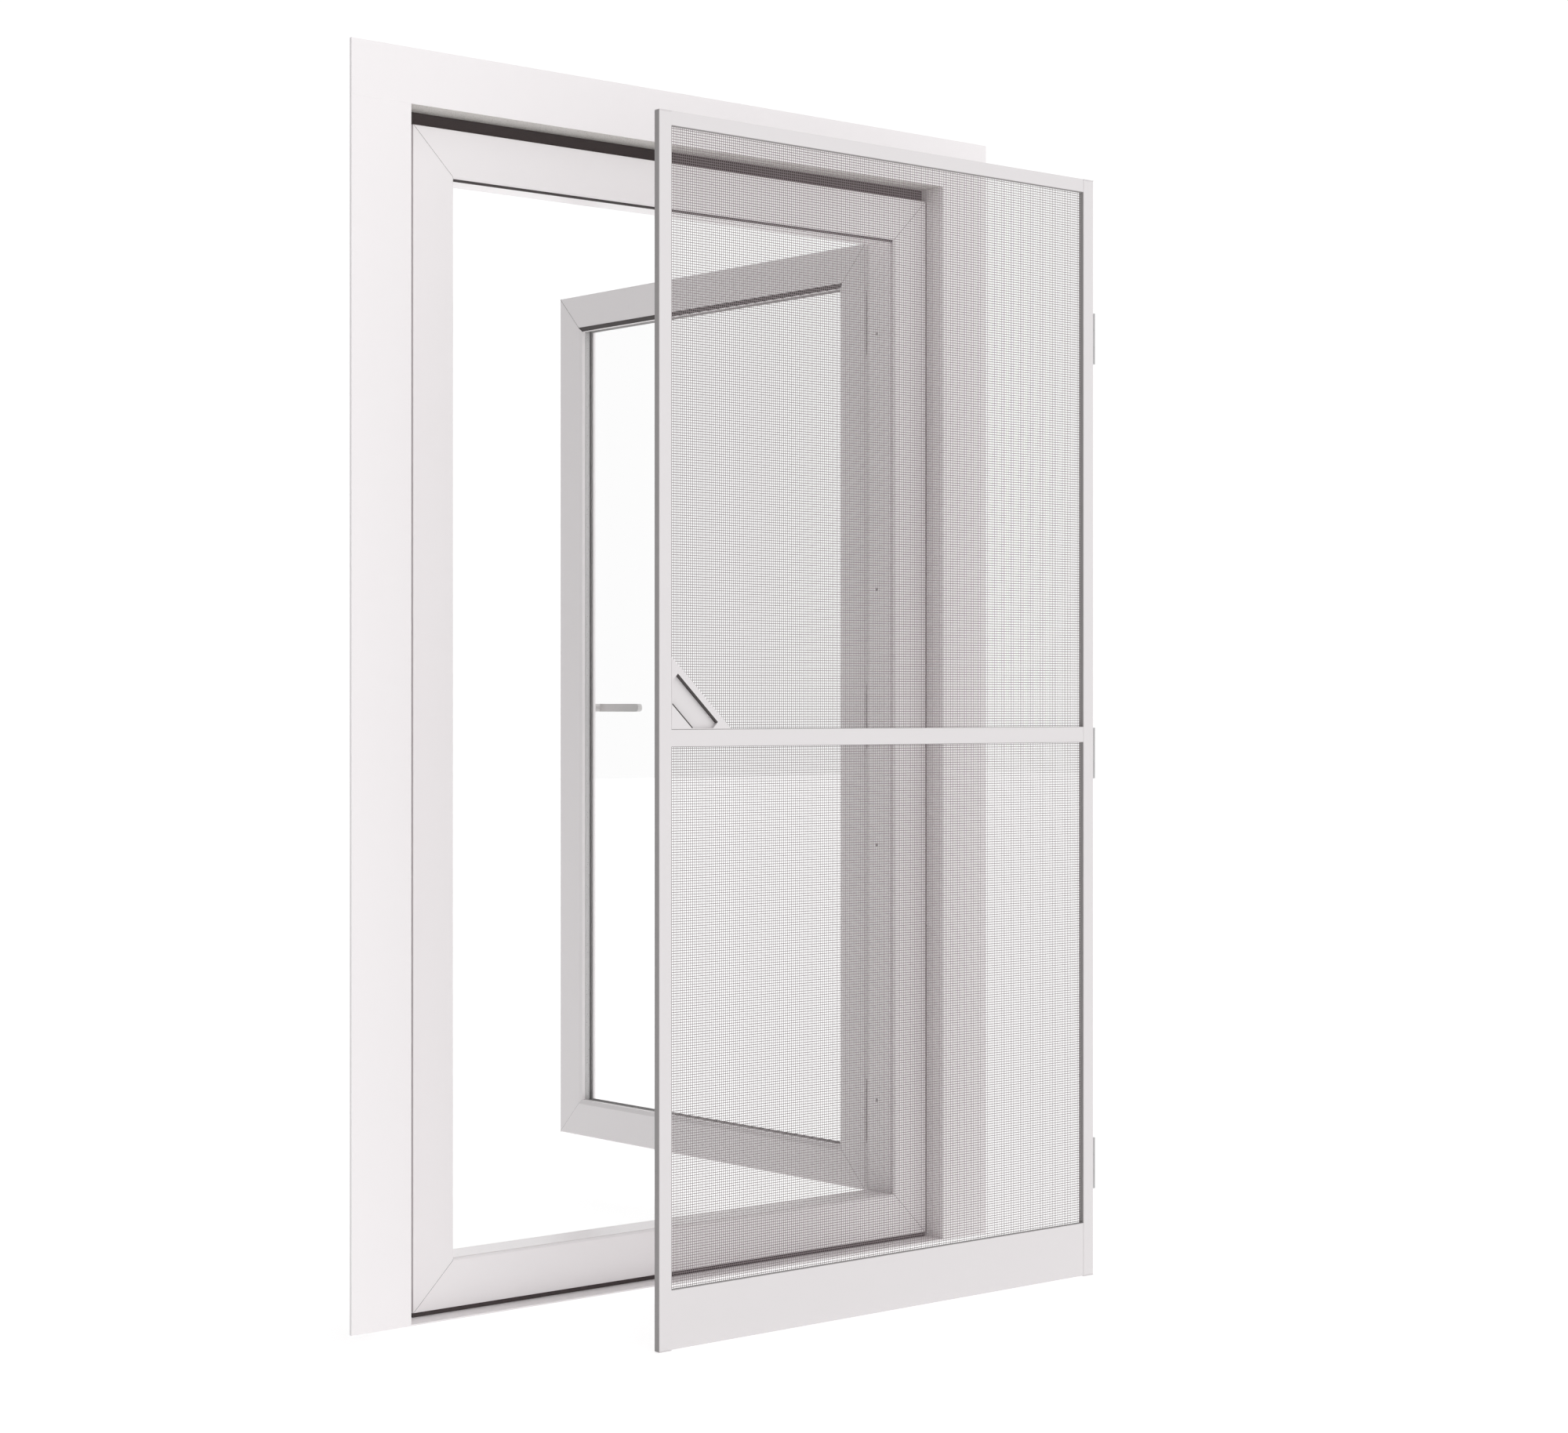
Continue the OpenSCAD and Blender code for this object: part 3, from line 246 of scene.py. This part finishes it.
def makeGlass():
    # Clear panes; light passes straight through to what stands behind them
    glass = {"tint": (0.998, 0.998, 0.998), "bend": 1.12, "smear": 0.01, "smearScale": 6}
    material = bpy.data.materials.new("glass")
    material.use_nodes = True
    tree = material.node_tree
    shader = tree.nodes["Principled BSDF"]
    shader.inputs["Base Color"].default_value = (*glass["tint"], 1)
    shader.inputs["Transmission Weight"].default_value = 1.0
    shader.inputs["IOR"].default_value = glass["bend"]
    place = addNode(tree, "ShaderNodeTexCoord")
    smear = addNode(tree, "ShaderNodeTexNoise", Scale=glass["smearScale"], Detail=2)
    film = addNode(tree, "ShaderNodeMath", operation="MULTIPLY")
    film.inputs[1].default_value = glass["smear"]
    plug(tree, place.outputs["Object"], smear.inputs["Vector"])
    plug(tree, smear.outputs["Fac"], film.inputs[0])
    plug(tree, film.outputs[0], shader.inputs["Roughness"])
    out = tree.nodes["Material Output"]
    path = addNode(tree, "ShaderNodeLightPath")
    clear = addNode(tree, "ShaderNodeBsdfTransparent")
    clear.inputs[0].default_value = (*glass["tint"], 1)
    both = addNode(tree, "ShaderNodeMixShader")
    plug(tree, path.outputs["Is Shadow Ray"], both.inputs[0])
    plug(tree, shader.outputs[0], both.inputs[1])
    plug(tree, clear.outputs[0], both.inputs[2])
    plug(tree, both.outputs[0], out.inputs["Surface"])
    return material


materials = {slot: makeFinish(slot, chosen) for slot, chosen in finishes.items()}
materials["glass"] = makeGlass()
print("stage: finishes made,", len(materials))


def camel(node):
    words = node.split("_")
    return words[0] + "".join(word.capitalize() for word in words[1:])


def finishPiece(bm, name, body, slot, replaced=()):
    bmesh.ops.recalc_face_normals(bm, faces=bm.faces)
    mesh = bpy.data.meshes.new(name)
    bm.to_mesh(mesh)
    bm.free()
    mesh.materials.append(materials[slot])
    piece = bpy.data.objects.new(name, mesh)
    bpy.context.scene.collection.objects.link(piece)
    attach(piece, body)
    if replaced:
        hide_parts(*replaced)
    return piece


# Weld distance in metres; angles in degrees; how nearly a face has to look the asked way
meshing = {"weld": 2e-6, "flatWithin": 1, "roundOver": 32, "facing": 0.97}


def solidOf(node):
    bm = bmesh.new()
    bm.from_mesh(cadNodes[node].data)
    bmesh.ops.remove_doubles(bm, verts=bm.verts, dist=meshing["weld"])
    bmesh.ops.dissolve_limit(bm, angle_limit=math.radians(meshing["flatWithin"]), verts=bm.verts, edges=bm.edges)
    return bm


# Edge radius in millimetres, and how many steps it takes
edgeRounding = {
    "casing_left": (0.25, 1), "casing_right": (0.25, 1), "casing_head": (0.25, 1),
    "sill_plate": (0.6, 2), "soffit_liner": (0.3, 1),
    "seal_left": (0.5, 1), "seal_right": (0.5, 1), "seal_head": (0.5, 1), "seal_bottom": (0.8, 2),
    "frame_jamb_left": (1.2, 2), "frame_jamb_right": (1.2, 2),
    "frame_head": (1.2, 2), "frame_bottom": (1.2, 2),
    # The head drip seal is a real seal; its near-black colour also paints the shade line under the frame head
    "frame_rebate_seal": (0.7, 3), "head_drip_seal": (1.0, 3),
    "sash_stile_hinge": (1.1, 2), "sash_stile_handle": (1.1, 2), "sash_rail_top": (1.1, 2),
    "sash_rail_bottom": (1.1, 2),
    "bead_hinge": (0.6, 2), "bead_handle": (0.6, 2), "bead_top": (0.6, 2), "bead_bottom": (0.6, 2),
    "glazing_gaskets": (0.35, 2), "pane_spacer": (0.3, 1), "setting_blocks": (0.5, 1),
    "hinge_frame_brackets": (0.5, 2), "hinge_sash_leaves": (0.5, 2), "hinge_screws": (0.3, 2),
    "bolt_keepers": (0.8, 2), "frame_screws": (0.3, 2), "rose_screws": (0.3, 2),
    "handle_rose": (2.2, 4), "handle_lever": (4.8, 6),
    "bolt_rod_upper": (0.4, 2), "bolt_rod_lower": (0.4, 2), "gear_case": (0.4, 1),
    "screen_stile_free": (0.4, 2), "screen_stile_hinge": (0.4, 2), "screen_rail_top": (0.4, 2),
    "screen_rail_mid": (0.4, 2), "screen_kick_plate": (0.4, 2),
    "screen_end_caps": (0.6, 3), "screen_edge_strip": (0.35, 2), "screen_splines": (0.2, 1),
    "grip_front": (0.35, 2), "grip_back": (0.35, 2),
    "screen_hinge_leaves": (0.3, 2), "screen_hinge_seats": (0.3, 2), "screen_hinge_pins": (0.2, 1),
}


def roundedCopy(node, radius, steps):
    bm = solidOf(node)
    sharp = math.radians(meshing["roundOver"])
    edges = [edge for edge in bm.edges if len(edge.link_faces) == 2 and edge.calc_face_angle(0) > sharp]
    bmesh.ops.bevel(bm, geom=edges, offset=radius / 1000, offset_type="OFFSET", affect="EDGES",
                    segments=steps, profile=0.5, material=-1, clamp_overlap=True)
    return finishPiece(bm, camel(node), nodeBody[node], nodeSlot[node], [node])


def skinOf(node, name, slot, towards, thickness, faceRank=None):
    # A thin strip laid on the faces of a node that look a given way, thickness in millimetres;
    # faceRank 0 is the smallest of those faces alone
    bm = solidOf(node)
    bm.normal_update()
    aim = Vector(towards).normalized()
    facing = [face for face in bm.faces if face.normal.dot(aim) > meshing["facing"]]
    chosen = sorted(facing, key=lambda face: face.calc_area())
    if faceRank is not None:
        chosen = [chosen[faceRank]]
    away = [face for face in bm.faces if face not in chosen]
    bmesh.ops.delete(bm, geom=away, context="FACES")
    grown = bmesh.ops.extrude_face_region(bm, geom=bm.faces[:])
    shift = aim * thickness / 1000
    bmesh.ops.translate(bm, vec=shift, verts=[v for v in grown["geom"] if isinstance(v, bmesh.types.BMVert)])
    return finishPiece(bm, name, nodeBody[node], slot)


pieces = {}
for node, (radius, steps) in edgeRounding.items():
    pieces[node] = roundedCopy(node, radius, steps)
strips = {
    # Painted shade: a near-black strip on the sash top rail's downward bevel
    "topShadeStrip": ("sash_rail_top", (-0.914, 0.0, -0.406), 0.4, None),
    # Painted shade: near-black strips along the grip pocket's outer and inner walls
    "gripPocketOuterStrip": ("grip_front", (-0.687, 0.0, -0.727), 2.6, None),
    "gripPocketInnerStrip": ("grip_front", (0.687, 0.0, 0.727), 2.0, 0),
}
# Painted shade: a near-black hairline strip stands in each welded corner's groove
seamShade = {"thickness": 0.5}
for level, rise in (("Low", -1), ("High", 1)):
    strips["frameSeamLeft" + level] = ("frame_jamb_left", (1, 0, rise), seamShade["thickness"], None)
    strips["frameSeamRight" + level] = ("frame_jamb_right", (-1, 0, rise), seamShade["thickness"], None)
    strips["sashSeamHandle" + level] = ("sash_stile_handle", (0, -1, rise), seamShade["thickness"], None)
    strips["sashSeamHinge" + level] = ("sash_stile_hinge", (0, 1, rise), seamShade["thickness"], None)
# Each strip is a thin sheet of painted shade in the near-black gasket finish
for name, (node, towards, thickness, faceRank) in strips.items():
    pieces[name] = skinOf(node, name, "gasket", towards, thickness, faceRank)
for node, thing in cadNodes.items():
    if node not in pieces:
        for socket in thing.material_slots:
            socket.material = materials[nodeSlot[node]]
print("stage: edges rounded on", len(pieces), "pieces")


netCloth = {"pitch": 0.0044, "weftWidth": 0.0009, "warpWidth": 0.0008, "thickness": 0.00035, "warpShare": 0.8}


def addThread(bm, low, high):
    made = bmesh.ops.create_cube(bm, size=1)
    middle = (low + high) / 2
    bmesh.ops.scale(bm, vec=high - low, verts=made["verts"])
    bmesh.ops.translate(bm, vec=middle, verts=made["verts"])


def makeNet(node):
    low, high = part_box(node)
    middle = (low.y + high.y) / 2
    half = netCloth["thickness"] / 2
    bm = bmesh.new()
    rows = int((high.z - low.z) / netCloth["pitch"])
    columns = int((high.x - low.x) / netCloth["pitch"])
    for i in range(rows + 1):
        z = low.z + (high.z - low.z) * i / rows
        z = min(max(z, low.z + netCloth["weftWidth"] / 2), high.z - netCloth["weftWidth"] / 2)
        addThread(bm, Vector((low.x, middle - half, z - netCloth["weftWidth"] / 2)),
                  Vector((high.x, middle + half, z + netCloth["weftWidth"] / 2)))
    for i in range(columns + 1):
        x = low.x + (high.x - low.x) * i / columns
        x = min(max(x, low.x + netCloth["warpWidth"] / 2), high.x - netCloth["warpWidth"] / 2)
        addThread(bm, Vector((x - netCloth["warpWidth"] / 2, middle - half * netCloth["warpShare"], low.z)),
                  Vector((x + netCloth["warpWidth"] / 2, middle + half * netCloth["warpShare"], high.z)))
    net = finishPiece(bm, camel(node) + "Weave", "screen_door", "net", [node])
    return net


for node in ("net_upper", "net_lower"):
    pieces[node] = makeNet(node)
print("stage: nets woven")


def makeStage():
    floor = {"size": 60, "drop": 0.0005, "colour": (0.6, 0.6, 0.6), "glow": 0.6}
    bm = bmesh.new()
    bmesh.ops.create_grid(bm, x_segments=1, y_segments=1, size=floor["size"] / 2)
    bmesh.ops.translate(bm, vec=(0, 0, cadBox[0].z - floor["drop"]), verts=bm.verts)
    mesh = bpy.data.meshes.new("floor")
    bm.to_mesh(mesh)
    bm.free()
    plane = bpy.data.objects.new("floor", mesh)
    bpy.context.scene.collection.objects.link(plane)
    material = bpy.data.materials.new("floorPaper")
    material.use_nodes = True
    shader = material.node_tree.nodes["Principled BSDF"]
    shader.inputs["Base Color"].default_value = (*floor["colour"], 1)
    shader.inputs["Roughness"].default_value = 0.9
    shader.inputs["Specular IOR Level"].default_value = 0.1
    shader.inputs["Emission Color"].default_value = (1, 1, 1, 1)
    shader.inputs["Emission Strength"].default_value = floor["glow"]
    mesh.materials.append(material)


def makeLight():
    # The room is bright ahead and to the right, dim to the left, with a soft glow behind the viewer
    light = {"bright": 1.0, "dim": 0.05, "brightFrom": 0.2, "front": 0.31, "backdrop": 1.05}
    world = bpy.data.worlds.new("studio")
    bpy.context.scene.world = world
    world.use_nodes = True
    tree = world.node_tree
    tree.nodes.clear()
    place = addNode(tree, "ShaderNodeTexCoord")
    parts = addNode(tree, "ShaderNodeSeparateXYZ")
    across = addNode(tree, "ShaderNodeMapRange", clamp=True)
    across.inputs["From Min"].default_value = -1
    across.inputs["From Max"].default_value = light["brightFrom"]
    across.inputs["To Min"].default_value = light["dim"]
    across.inputs["To Max"].default_value = light["bright"]
    ahead = addNode(tree, "ShaderNodeMapRange", clamp=True)
    ahead.inputs["From Min"].default_value = 0
    ahead.inputs["From Max"].default_value = -1
    ahead.inputs["To Min"].default_value = 0
    ahead.inputs["To Max"].default_value = light["front"]
    total = addNode(tree, "ShaderNodeMath", operation="ADD")
    room = addNode(tree, "ShaderNodeBackground")
    room.inputs["Color"].default_value = (1, 1, 1, 1)
    out = addNode(tree, "ShaderNodeOutputWorld")
    plug(tree, place.outputs["Generated"], parts.inputs[0])
    plug(tree, parts.outputs["X"], across.inputs["Value"])
    plug(tree, parts.outputs["Y"], ahead.inputs["Value"])
    plug(tree, across.outputs["Result"], total.inputs[0])
    plug(tree, ahead.outputs["Result"], total.inputs[1])
    plug(tree, total.outputs[0], room.inputs["Strength"])
    path = addNode(tree, "ShaderNodeLightPath")
    paper = addNode(tree, "ShaderNodeBackground", Strength=light["backdrop"])
    paper.inputs["Color"].default_value = (1, 1, 1, 1)
    seen = addNode(tree, "ShaderNodeMixShader")
    plug(tree, path.outputs["Is Camera Ray"], seen.inputs[0])
    plug(tree, room.outputs[0], seen.inputs[1])
    plug(tree, paper.outputs[0], seen.inputs[2])
    plug(tree, seen.outputs[0], out.inputs[0])


def makeCamera():
    view = {"place": (-3.337, -4.2073, 1.044), "turn": 40.30, "lens": 67.32, "shiftY": -0.007}
    data = bpy.data.cameras.new("camera")
    data.lens, data.sensor_width, data.shift_y = view["lens"], 36, view["shiftY"]
    data.clip_end = 200
    camera = bpy.data.objects.new("camera", data)
    bpy.context.scene.collection.objects.link(camera)
    camera.location = view["place"]
    camera.rotation_euler = (math.radians(90), 0, -math.radians(view["turn"]))
    bpy.context.scene.camera = camera


makeStage()
makeLight()
makeCamera()
bpy.context.scene.view_settings.view_transform = "Standard"
print("stage: floor, light and camera set")
